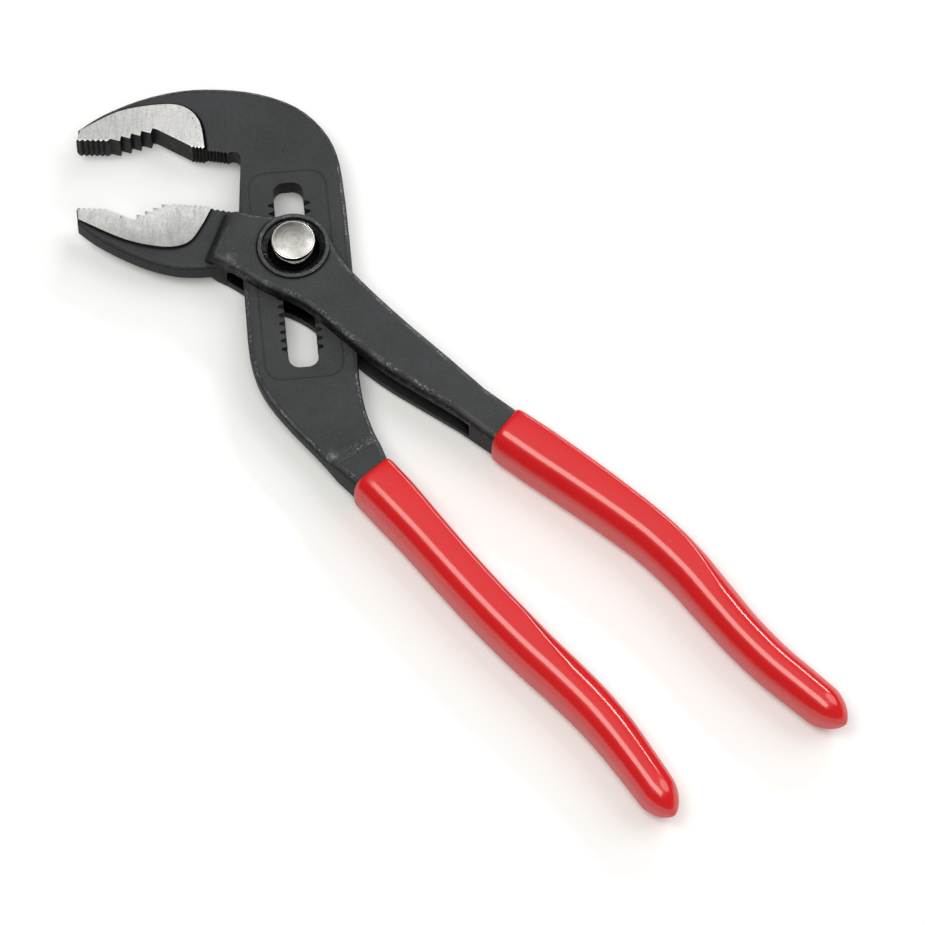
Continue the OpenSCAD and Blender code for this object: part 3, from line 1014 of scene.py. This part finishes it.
class Skin:
    """A closed skin through sections, drawn by Geometry Nodes."""

    VECTORS = ("centre", "across", "up")
    NUMBERS = ("wide", "high", "near", "far", "tall", "under")
    WELD = 1e-6

    def __init__(self, material: bpy.types.Material, corner: int) -> None:
        """Build the tree.

        Args:
            material: finish of the skin.
            corner: steps in each rounded corner.
        """
        self.corner = corner
        self.book = GeometryBook(f"skin_{material.name}", ["Corner steps", "Weld"])
        b = self.book
        rows = b.part(b.add("GeometryNodeAttributeDomainSize", inputs={0: b.start}), "Point Count")
        steps = b.size("Corner steps")
        loop = 4 * steps + 4
        sheet = {"Vertices X": rows, "Vertices Y": loop + 1, "Size X": 1.0, "Size Y": 1.0}
        grid = b.add("GeometryNodeMeshGrid", inputs=sheet)
        index = b.add("GeometryNodeInputIndex")
        row = ((index + 0.5) / (loop + 1)).floor()
        spot = (index - row * (loop + 1)) % loop
        quarter = ((spot + 0.5) / (steps + 1)).floor()
        angle = (quarter + (spot - quarter * (steps + 1)) / steps) * (math.pi / 2)
        facing = (quarter + 0.5) * (math.pi / 2)
        wide, high, near, far, tall, under = (self._sample(row, n, "FLOAT") for n in self.NUMBERS)
        centre, across, upward = (self._sample(row, n, "FLOAT_VECTOR") for n in self.VECTORS)
        side, up = facing.cos().sign(), facing.sin().sign()
        here, above = side * 0.5 + 0.5, up * 0.5 + 0.5
        broad = under + above * (far - under + here * (near - far))
        deep = under + above * (tall - under + here * (near - tall))
        x = (wide - broad) * side + broad * angle.cos()
        z = (high - deep) * up + deep * angle.sin()
        spread = self._sum(self._scaled(across, x), self._scaled(upward, z))
        place = self._sum(centre, spread)
        shaped = b.add("GeometryNodeSetPosition", inputs={"Geometry": grid, "Position": place})
        joined = {"Geometry": shaped, "Distance": b.size("Weld")}
        b.close(b.add("GeometryNodeMergeByDistance", inputs=joined), material)

    def _sample(self, row: Wire, name: str, kind: str) -> Wire:
        """Read a named value at a row.

        Args:
            row: the row's number.
            name: the value's name.
            kind: its data type.

        Returns:
            The value.
        """
        kept = self.book.add("GeometryNodeInputNamedAttribute", {"data_type": kind}, {"Name": name})
        sockets = {"Geometry": self.book.start, "Value": kept, "Index": row}
        return self.book.add("GeometryNodeSampleIndex", {"data_type": kind}, sockets)

    def _scaled(self, way: Wire, by: Wire) -> Wire:
        """A vector times a number."""
        return self.book.add("ShaderNodeVectorMath", {"operation": "SCALE"}, {0: way, "Scale": by})

    def _sum(self, a: Wire, b: Wire) -> Wire:
        """The sum of two vectors."""
        return self.book.add("ShaderNodeVectorMath", {"operation": "ADD"}, {0: a, 1: b})

    def draw(self, name: str, rows: Sequence[SkinRow]) -> bpy.types.Object:
        """Draw the skin through its rows.

        Args:
            name: name of the object.
            rows: sections in order, the first and last shrunk to a point.

        Returns:
            The finished object.
        """
        seed = bpy.data.meshes.new(name + "_rows")
        seed.from_pydata([r.centre for r in rows], [], [])
        for key in self.VECTORS:
            store = seed.attributes.new(key, "FLOAT_VECTOR", "POINT")
            store.data.foreach_set("vector", [c for r in rows for c in getattr(r, key)])
        for key in self.NUMBERS:
            store = seed.attributes.new(key, "FLOAT", "POINT")
            store.data.foreach_set("value", [getattr(r, key) for r in rows])
        return self.book.bake(name, seed, {"Corner steps": self.corner, "Weld": self.WELD})


def smooth_between(rows: Sequence[Row], spot: float) -> list[float]:
    """Read a row of numbers on a smooth curve through given rows.

    Args:
        rows: the given rows.
        spot: place on the curve, counted in rows.

    Returns:
        The numbers there.
    """
    last = len(rows) - 1
    i = min(int(spot), last - 1)
    t = spot - i
    a, b, c, d = (rows[min(max(i + s, 0), last)] for s in (-1, 0, 1, 2))
    return [
        q + t * ((r - p) + t * ((2 * p - 5 * q + 4 * r - s) + t * (3 * q - p - 3 * r + s))) / 2
        for p, q, r, s in zip(a, b, c, d)
    ]


def register(piece: bpy.types.Object, body: Body, slot: Slot, *nodes: str) -> None:
    """Hand a piece to its body.

    Args:
        piece: the finished piece.
        body: body that it moves with.
        slot: its material slot in the record; not used.
        nodes: nodes that it stands for.
    """
    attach(piece, body.value)
    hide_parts(*nodes)
    LOG.info("%s: %d faces on %s", piece.name, len(piece.data.polygons), body.value)


@dataclass(frozen=True)
class EasedNode:
    """A solid of the frame with its sharp edges eased and its rounding shaded smooth.

    Attributes:
        node: name of the solid.
        name: name of the piece.
        body: body that it moves with.
        slot: its material slot.
        ease: width of the eased edges in metres.
        crease: angle of the edges that stay crisp, in degrees.
        weld: distance within which points are merged, in metres.
        sliver: length of the edges that are taken out, in metres.
        shortest: length of the shortest edge that is eased, in metres.
        flat: angle between faces that count as one, in degrees.
        weight: share of the large faces in the shading of their edges, in per cent.
    """

    node: str
    name: str
    body: Body
    slot: Slot
    ease: float = 0.0002
    crease: float = 38.0
    weld: float = 2e-6
    sliver: float = 1e-6
    shortest: float = 0.00005
    flat: float = 0.8
    weight: int = 80

    def build(self, material: bpy.types.Material) -> bpy.types.Object:
        """Make the piece.

        Args:
            material: its finish.

        Returns:
            The piece, riding on its body.
        """
        mesh = self._mesh()
        mesh.materials.append(material)
        piece = placed(self.name, mesh)
        shading = piece.modifiers.new("flat faces", "WEIGHTED_NORMAL")
        shading.keep_sharp = True
        shading.weight = self.weight
        register(piece, self.body, self.slot, self.node)
        return piece

    def _mesh(self) -> bpy.types.Mesh:
        """A merged copy of the solid with eased edges.

        Returns:
            The mesh.
        """
        bm = bmesh.new()
        bm.from_mesh(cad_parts[self.node].data)
        bmesh.ops.remove_doubles(bm, verts=bm.verts, dist=self.weld)
        bmesh.ops.dissolve_degenerate(bm, edges=bm.edges, dist=self.sliver)
        bmesh.ops.dissolve_limit(
            bm,
            angle_limit=math.radians(self.flat),
            verts=bm.verts,
            edges=bm.edges,
            use_dissolve_boundaries=False,
        )
        bmesh.ops.bevel(
            bm,
            geom=[e for e in bm.edges if self._is_sharp(e)],
            offset=self.ease,
            offset_type="OFFSET",
            segments=2,
            profile=0.5,
            affect="EDGES",
            clamp_overlap=True,
            harden_normals=False,
        )
        bmesh.ops.triangulate(bm, faces=[f for f in bm.faces if len(f.verts) > 4])
        for face in bm.faces:
            face.smooth = True
            face.material_index = 0
        for edge in bm.edges:
            edge.smooth = len(edge.link_faces) == 2 and edge.calc_face_angle(0) < math.radians(self.crease)
        mesh = bpy.data.meshes.new(self.name)
        bm.to_mesh(mesh)
        bm.free()
        return mesh

    def _is_sharp(self, edge: bmesh.types.BMEdge) -> bool:
        """Tell whether an edge is an outer corner that a file would break.

        Args:
            edge: the edge.

        Returns:
            Whether it is.
        """
        if len(edge.link_faces) != 2 or edge.calc_length() < self.shortest:
            return False
        return edge.calc_face_angle_signed(0) > math.radians(self.crease)


LIP_ROLL: tuple[Span, ...] = (
    (0.14, 1.55), (0.03, 1.25), (0.0, 1.0), (0.06, 0.72), (0.2, 0.45), (0.42, 0.24), (0.72, 0.1), (1.1, 0.02),
)


@dataclass(frozen=True)
class Sleeve:
    """Dipped sleeve on a handle's tang: rolled lip, soft rounding and a blunt nose.

    Attributes:
        node: solid that the sleeve stands for.
        name: name of the piece.
        body: body that it moves with.
        path: centre, width and thickness in millimetres, from the mouth to the nose.
        wall: thickness of the plastic.
        room: gap to the tang.
        tang_corner: radius of the tang's edges.
        hollow_end: scales of the sections that close the hollow.
        rounding: radius of the sleeve's upper edges.
        shoulder: width and height of its rear upper edge near the mouth.
        under: radius of its lower edges.
        turn: rows of the path over which the rear edge turns as round as the other.
        lip: distance from the mouth and what is taken off the section, for each section of the lip.
        lip_end: place on the path, counted in rows, where the lip has ended.
        nose: length of the nose.
        nose_steps: sections in the nose.
        nose_power: how fast the sections of the nose shrink.
        steps: sections in each span of the path.
        corner: steps in each rounded corner.
        smallest: least half width of a section.
        fill: largest share of a section's half that a corner takes.
    """

    node: str
    name: str
    body: Body
    path: tuple[Row, ...]
    wall: float = 0.9
    room: float = 0.08
    tang_corner: float = 1.6
    hollow_end: Row = (0, 0.5, 0.96)
    rounding: float = 4.1
    shoulder: Span = (1.7, 4.9)
    under: float = 3.1
    turn: Span = (4.6, 6.2)
    lip: tuple[Span, ...] = LIP_ROLL
    lip_end: float = 0.2
    nose: float = 6.0264
    nose_steps: int = 18
    nose_power: float = 0.7
    steps: int = 6
    corner: int = 10
    smallest: float = 1e-4
    fill: float = 0.98

    def _point(self, spot: float, glance: float = 0.15) -> tuple[list[float], Vector]:
        """Read the path.

        Args:
            spot: place along it, counted in rows.
            glance: distance to both sides over which the heading is taken.

        Returns:
            The numbers of the path and its heading.
        """
        last = len(self.path) - 1
        i = min(int(spot), last - 1)
        size = [p + (q - p) * (spot - i) for p, q in zip(self.path[i][2:], self.path[i + 1][2:])]
        spots = (spot, max(spot - glance, 0.0), min(spot + glance, last))
        here, a, b = (smooth_between(self.path, t)[:2] for t in spots)
        return here + size, Vector((b[0] - a[0], b[1] - a[1], 0)).normalized()

    def _row(
        self, spot: float, shift: float, share: float, cut: float, grow: float, edge: float | None = None
    ) -> SkinRow:
        """One section.

        Args:
            spot: place along the path.
            shift: move along the heading.
            share: scale of the section.
            cut: taken off its width and thickness.
            grow: added on every side.
            edge: radius of all its corners, where it has not the sleeve's own.

        Returns:
            The section in metres.
        """
        (x, y, width, thick), way = self._point(spot)
        wide = max((width * share - cut) / 2 + grow, self.smallest)
        high = max((thick * share - cut) / 2 + grow, self.smallest)
        cap = self.fill * min(wide, high)
        if edge is None:
            start, end = self.turn
            t = min(max((spot - start) / (end - start), 0.0), 1.0)
            far, tall = (e + (self.rounding - e) * t - cut / 2 for e in self.shoulder)
            near, under = self.rounding - cut / 2, self.under - cut / 2
        else:
            near = far = tall = under = edge
        return SkinRow(
            centre=Vector((x + way.x * shift, y + way.y * shift, TOOL.middle)) * MM,
            across=Vector((way.y, -way.x, 0)),
            up=Vector((0, 0, 1)),
            wide=wide * MM,
            high=high * MM,
            near=min(near, cap) * MM,
            far=min(far, cap) * MM,
            tall=min(tall, self.fill * high) * MM,
            under=min(under, cap) * MM,
        )

    def rows(self) -> list[SkinRow]:
        """Sections from the hollow's end, out over the lip, to the tip of the nose.

        Returns:
            The sections in order.
        """
        last = len(self.path) - 1
        spots = [i / self.steps for i in range(last * self.steps + 1)]
        inset, inner = self.room - self.wall, self.tang_corner + self.room
        hollow = [self._row(last, self.room, s, 0, inset * s, inner * s) for s in self.hollow_end]
        hollow += [self._row(s, 0, 1, 0, inset, inner) for s in reversed(spots)]
        lip = [self._row(0, away, 1, cut, 0) for away, cut in self.lip]
        outer = [self._row(s, 0, 1, 0, 0) for s in spots if s > self.lip_end]
        bends = [math.sin(math.pi / 2 * i / self.nose_steps) for i in range(1, self.nose_steps + 1)]
        nose = [self._row(last, s * self.nose, max(1 - s * s, 0.0) ** self.nose_power, 0, 0) for s in bends]
        return hollow + lip + outer + nose

    def build(self, material: bpy.types.Material) -> bpy.types.Object:
        """Make the sleeve.

        Args:
            material: its finish.

        Returns:
            The sleeve, riding on its body.
        """
        piece = Skin(material, self.corner).draw(self.name, self.rows())
        register(piece, self.body, Slot.DIPPED_SLEEVE, self.node)
        return piece


@dataclass(frozen=True)
class PushButton:
    """Cup-shaped button turned from bar: crowned face over a slimmer skirt with a thin lip.

    Attributes:
        radius: radius of the face in millimetres.
        top: height of the face.
        ceiling: height of the cup's inner face.
        socket: depth of the hole for the bolt's end above that face.
        low: lower end of the skirt.
        inner: inner radius of the skirt.
        skirt: outer radius of the skirt.
        lip: radius of the lip.
        spigot: radius of the bolt's end in the cup.
        edge: width and height of the face's rounded edge.
        edge_drop: depth of that edge below the top.
        sag: how far the face falls from its middle to its edge.
        proud: how far its middle stands over the top.
        crisp: distance from a corner of the rows that keep it crisp.
        crisp_share: the largest share of the way to the next corner that this takes.
        corner: steps in each quarter of a round.
        smallest: least radius of a section.
    """

    radius: float = 4.05
    top: float = 13.5
    ceiling: float = 12.5
    socket: float = 0.6
    low: float = 11.05
    inner: float = 3.3
    skirt: float = 3.65
    lip: float = 3.8
    spigot: float = 1.6
    edge: Span = (0.15, 0.12)
    edge_drop: float = 0.5
    sag: float = 0.46
    proud: float = 0.015
    crisp: float = 0.03
    crisp_share: float = 0.3
    corner: int = 16
    smallest: float = 1e-4

    def profile(self) -> list[Span]:
        """Radius and height of the button's outline, from the cup's middle to the face's.

        Returns:
            The outline's points in millimetres.
        """
        r, t, low = self.radius, self.top, self.low
        wide, high = self.edge
        cup = [
            (0, self.ceiling + self.socket),
            (self.spigot, self.ceiling + self.socket),
            (self.spigot, self.ceiling),
            (self.inner, self.ceiling),
            (self.inner, low),
            (self.lip - 0.1, low),
            (self.lip, low + 0.12),
            (self.lip, low + 0.45),
            (self.lip - 0.12, low + 0.6),
            (self.skirt, low + 0.65),
            (self.skirt, t - 0.75),
            (r - 0.12, t - 0.68),
            (r, t - 0.56),
        ]
        turns = (0, 0.35, 0.7, 1.05, 1.4)
        edge = [(r - wide + wide * math.cos(a), t - self.edge_drop + high * math.sin(a)) for a in turns]
        shares = (0.93, 0.8, 0.65, 0.5, 0.35, 0.2, 0.1, 0)
        crown = [(r * f, t + self.proud - self.sag * f * f) for f in shares]
        return cup + edge + crown

    def rows(self) -> list[SkinRow]:
        """Round sections of the outline, doubled at its corners to keep them crisp.

        Returns:
            The sections in order.
        """
        line = self.profile()
        rows: list[SkinRow] = []
        for i, (r, z) in enumerate(line):
            for other in (line[max(i - 1, 0)], (r, z), line[min(i + 1, len(line) - 1)]):
                way = max(math.dist(other, (r, z)), self.smallest)
                share = min(self.crisp / way, self.crisp_share)
                rows.append(self._ring(r + (other[0] - r) * share, z + (other[1] - z) * share))
        return rows

    def _ring(self, radius: float, height: float) -> SkinRow:
        """A round section in metres."""
        r = max(radius, self.smallest) * MM
        return SkinRow(Vector((0, 0, height * MM)), Vector((1, 0, 0)), Vector((0, 1, 0)), r, r, r, r, r, r)

    def build(self, material: bpy.types.Material) -> bpy.types.Object:
        """Make the button.

        Args:
            material: its finish.

        Returns:
            The button, riding on the bolt.
        """
        piece = Skin(material, self.corner).draw("turned_button", self.rows())
        register(piece, Body.BOLT, Slot.TURNED_STEEL, "push_button")
        return piece


@dataclass(frozen=True)
class ReturnSpring:
    """Open coil that lifts the button.

    Attributes:
        radius: radius of the coil's middle line in millimetres.
        wire: diameter of the wire.
        turns: number of turns.
        low: height of the middle of the wire's lower end.
        rise: height of the whole coil between the wire's middles.
        pressed: share of its height that is left under the pressed button; not used.
        turn_points: points in each turn.
        wire_points: points round the wire.
    """

    radius: float = 2.75
    wire: float = 0.5
    turns: float = 2.0
    low: float = 8.8
    rise: float = 3.4
    pressed: float = 0.37
    turn_points: int = 40
    wire_points: int = 14

    def build(self, material: bpy.types.Material) -> bpy.types.Object:
        """Make the spring.

        Args:
            material: its finish.

        Returns:
            The spring, riding on the pivot.
        """
        sizes = {
            "Radius": self.radius * MM,
            "Turns": self.turns,
            "Rise": self.rise * MM,
            "Low": self.low * MM,
            "Wire": self.wire * MM,
        }
        book = GeometryBook("coil", list(sizes))
        spiral = {
            "Resolution": self.turn_points,
            "Rotations": book.size("Turns"),
            "Start Radius": book.size("Radius"),
            "End Radius": book.size("Radius"),
            "Height": book.size("Rise"),
        }
        path = book.add("GeometryNodeCurveSpiral", inputs=spiral)
        lift = book.add("ShaderNodeCombineXYZ", inputs={2: book.size("Low")})
        raised = book.add("GeometryNodeTransform", inputs={"Geometry": path, "Translation": lift})
        circle = {"Resolution": self.wire_points, "Radius": book.size("Wire") * 0.5}
        section = book.add("GeometryNodeCurvePrimitiveCircle", inputs=circle)
        tube = {"Curve": raised, "Profile Curve": section, "Fill Caps": True}
        book.close(book.add("GeometryNodeCurveToMesh", inputs=tube), material)
        piece = book.bake("return_spring", bpy.data.meshes.new("coil_start"), sizes)
        register(piece, Body.PIVOT, Slot.SPRING_WIRE, "button_spring")
        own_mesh(piece)
        return piece


@dataclass(frozen=True)
class DistantLamp:
    """Soft distant lamp.

    Attributes:
        name: the lamp's name.
        way: direction that its light comes from.
        power: its strength.
        spread: the angle that it fills, in degrees.
        distance: distance of its marker from the tool in metres.
    """

    name: str
    way: Row
    power: float
    spread: float
    distance: float = 2.0

    def build(self) -> None:
        """Hang the lamp."""
        data = bpy.data.lights.new(self.name, "SUN")
        data.energy, data.angle = self.power, math.radians(self.spread)
        lamp = placed(self.name, data)
        lamp.rotation_euler = Vector(self.way).to_track_quat("Z", "Y").to_euler()
        lamp.location = Vector(self.way).normalized() * self.distance


@dataclass(frozen=True)
class StripLamp:
    """Flat oblong lamp that faces the tool, its length along X.

    Attributes:
        name: the lamp's name.
        way: direction that its light comes from.
        size: its length and width in metres.
        level: brightness of its face, where 1 is white.
        colour: tint of its light.
        distance: its distance from the tool in metres.
    """

    name: str
    way: Row
    size: Span
    level: float
    colour: Colour = WHITE
    distance: float = 1.6

    def build(self) -> None:
        """Hang the lamp."""
        data = bpy.data.lights.new(self.name, "AREA")
        data.shape = "RECTANGLE"
        data.size, data.size_y = self.size
        data.energy, data.color = self.level * math.pi * self.size[0] * self.size[1], self.colour
        z = Vector(self.way).normalized()
        y = z.cross(Vector((1, 0, 0))).normalized()
        lamp = placed(self.name, data)
        lamp.matrix_world = posed(z * self.distance, (y.cross(z), y, z))
        lamp.visible_camera = False


@dataclass(frozen=True)
class Studio:
    """Camera, floor and soft light.

    Attributes:
        azimuth: the camera's turn from the front, in degrees.
        elevation: its height above the floor, in degrees.
        distance: its distance from the joint in metres.
        focal: focal length in pixels of the picture.
        picture: width of the picture in pixels.
        sensor: width of the sensor in millimetres.
        clip: nearest and farthest distance that the camera sees, in metres.
        joint_pixel: where the joint's top face shows in the picture.
        joint: the joint's top face.
        paper: radius of the floor in metres.
        paper_sides: number of its sides.
        dim: light from the level of the table.
        bright: what is added to it overhead.
        sky: heights, as sines, between which it is added.
        lamps: the lamps.
    """

    azimuth: float = 44.5
    elevation: float = 63.5
    distance: float = 1.2
    focal: float = 6420.0
    picture: float = 925.0
    sensor: float = 36.0
    clip: Span = (0.05, 20.0)
    joint_pixel: Span = (293.4, 246.0)
    joint: Row = (0, 0, 0.0106)
    paper: float = 3.0
    paper_sides: int = 96
    dim: float = 0.10
    bright: float = 0.58
    sky: Span = (0.66, 0.92)
    lamps: tuple[DistantLamp | StripLamp, ...] = (
        DistantLamp("back_right", (0.3, 0.6, 0.74), 0.95, 44.0),
        StripLamp("overhead", (0.1, -0.295, 0.952), (1.85, 0.72), 4.05, (1, 0.985, 0.90)),
        StripLamp("back", (-0.234, 0.819, 0.528), (0.68, 0.1), 25.0),
    )

    def camera(self) -> None:
        """Place the camera so that the joint falls on its pixel."""
        az, el = math.radians(self.azimuth), math.radians(self.elevation)
        back = Vector((math.sin(az) * math.cos(el), -math.cos(az) * math.cos(el), math.sin(el)))
        right = Vector((math.cos(az), math.sin(az), 0))
        up = back.cross(right)
        across, down = ((p - self.picture / 2) / self.focal * self.distance for p in self.joint_pixel)
        place = Vector(self.joint) - right * across + up * down + back * self.distance
        data = bpy.data.cameras.new("camera")
        data.sensor_fit = "HORIZONTAL"
        data.sensor_width = self.sensor
        data.lens = self.focal / self.picture * self.sensor
        data.clip_start, data.clip_end = self.clip
        data.dof.use_dof = False
        camera = placed("camera", data)
        camera.matrix_world = posed(place, (right, up, back))
        bpy.context.scene.camera = camera

    def floor(self) -> None:
        """Lay a wide round sheet of paper under the tool."""
        bm = bmesh.new()
        bmesh.ops.create_circle(bm, cap_ends=True, segments=self.paper_sides, radius=self.paper)
        mesh = bpy.data.meshes.new("paper")
        bm.to_mesh(mesh)
        bm.free()
        mesh.materials.append(PaleFloor().material("pale_paper"))
        paper = placed("paper", mesh)

    def dome(self) -> None:
        """Light from all round: bright above, dim at the level of the table."""
        world = bpy.data.worlds.new("soft_room")
        bpy.context.scene.world = world
        world.use_nodes = True
        book = NodeBook(world.node_tree)
        way = book.add("ShaderNodeTexCoord", out="Generated")
        height = book.part(book.add("ShaderNodeSeparateXYZ", inputs={0: way}), 2)
        shade = world.node_tree.nodes["Background"]
        book.feed(shade.inputs["Color"], (*WHITE, 1.0))
        book.feed(shade.inputs["Strength"], self.dim + height.step(*self.sky) * self.bright)

    def build(self) -> None:
        """Set the whole studio."""
        self.camera()
        self.floor()
        self.dome()
        for lamp in self.lamps:
            lamp.build()
        bpy.context.scene.view_settings.view_transform = "Standard"


OUTER_PATH: tuple[Row, ...] = (
    (53.9, 1.6, 9.4, 10.3), (62, 2.6, 9.6, 10.6), (71, 3.7, 9.3, 10.6), (80, 4.6, 8.9, 10.6),
    (88, 5.1, 8.6, 10.5), (97, 4.8, 8.5, 10.3), (105, 3.7, 8.2, 10), (113, 2.6, 7.8, 9.7),
    (121, 2.1, 7.6, 9.5), (128, 2.3, 7.4, 9.4), (133, 2.5, 7.2, 9.2),
)
INNER_PATH: tuple[Row, ...] = (
    (43.1, -22.5, 9.6, 10.2), (50, -23.1, 9.4, 10.6), (58, -24, 8.9, 10.6), (67, -25.1, 8.7, 10.6),
    (77, -26.1, 8.6, 10.6), (87, -26.7, 8.5, 10.5), (96, -26.9, 8.3, 10.3), (104, -27.3, 8.1, 10.1),
    (111, -28.2, 7.9, 9.8), (118, -29.6, 7.4, 9.5), (123.4, -30.8, 7.1, 9.2),
)
LOWER_JAW_STEEL = BlackSteel(
    # painted reflection on the pads: darker at one end, lighter along the given way
    pad_sheen_low=0.46,
    pad_sheen_way=(-0.70, 0.71),
    pad_sheen_ends=(1.0, 9.5),
    # this leg's box gets a black-painted slit and well, and its narrow corners stronger painted shade
    box=True,
    corner=(0.04, 0.24),
    scuff=(-6.6, -10.1),
    scuff_share=0.5,
)
# the inner leg gets painted shade along the slope round its guide track
UPPER_JAW_STEEL = BlackSteel(track=7.34, scuff=(35.2, -24.8))
BOLT_STEEL = TurnedSteel(colour=(0.42, 0.42, 0.41), ring=0.6, depth=0.010, rough=0.36)
# painted shade between these heights, and a painted highlight on the lip below them
BUTTON_STEEL = TurnedSteel(groove=(11.52, 12.8))


@dataclass(frozen=True)
class Pliers:
    """The whole tool.

    Attributes:
        outer: leg with the box joint and the lower jaw.
        inner: slotted leg with the upper jaw.
        bolt: toothed bolt.
        outer_sleeve: sleeve on the outer leg.
        inner_sleeve: sleeve on the inner leg.
        button: push button.
        spring: spring under the button.
    """

    outer: EasedNode = EasedNode("outer_leg", "forged_outer_leg", Body.OUTER_HALF, Slot.BLACK_STEEL)
    inner: EasedNode = EasedNode("inner_leg", "forged_inner_leg", Body.INNER_HALF, Slot.BLACK_STEEL)
    bolt: EasedNode = EasedNode("pivot_bolt", "toothed_bolt", Body.BOLT, Slot.JOINT_STEEL, ease=0.00008)
    outer_sleeve: Sleeve = Sleeve("outer_grip", "outer_sleeve", Body.OUTER_HALF, OUTER_PATH)
    inner_sleeve: Sleeve = Sleeve("inner_grip", "inner_sleeve", Body.INNER_HALF, INNER_PATH)
    button: PushButton = PushButton()
    spring: ReturnSpring = ReturnSpring()

    def build(self) -> None:
        """Make and dress every piece."""
        plastic = DippedPlastic().material("red_dipped_plastic")
        self.outer.build(LOWER_JAW_STEEL.material("black_steel_lower_jaw"))
        self.inner.build(UPPER_JAW_STEEL.material("black_steel_upper_jaw"))
        self.bolt.build(BOLT_STEEL.material("toothed_bolt_steel"))
        self.outer_sleeve.build(plastic)
        self.inner_sleeve.build(plastic)
        self.button.build(BUTTON_STEEL.material("turned_button_steel"))
        self.spring.build(SpringWire().material("drawn_spring_wire"))


def main() -> None:
    """Build the pliers in their studio."""
    logging.basicConfig(level=logging.INFO)
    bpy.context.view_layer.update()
    Studio().build()
    Pliers().build()


if __name__ == "__main__":
    main()
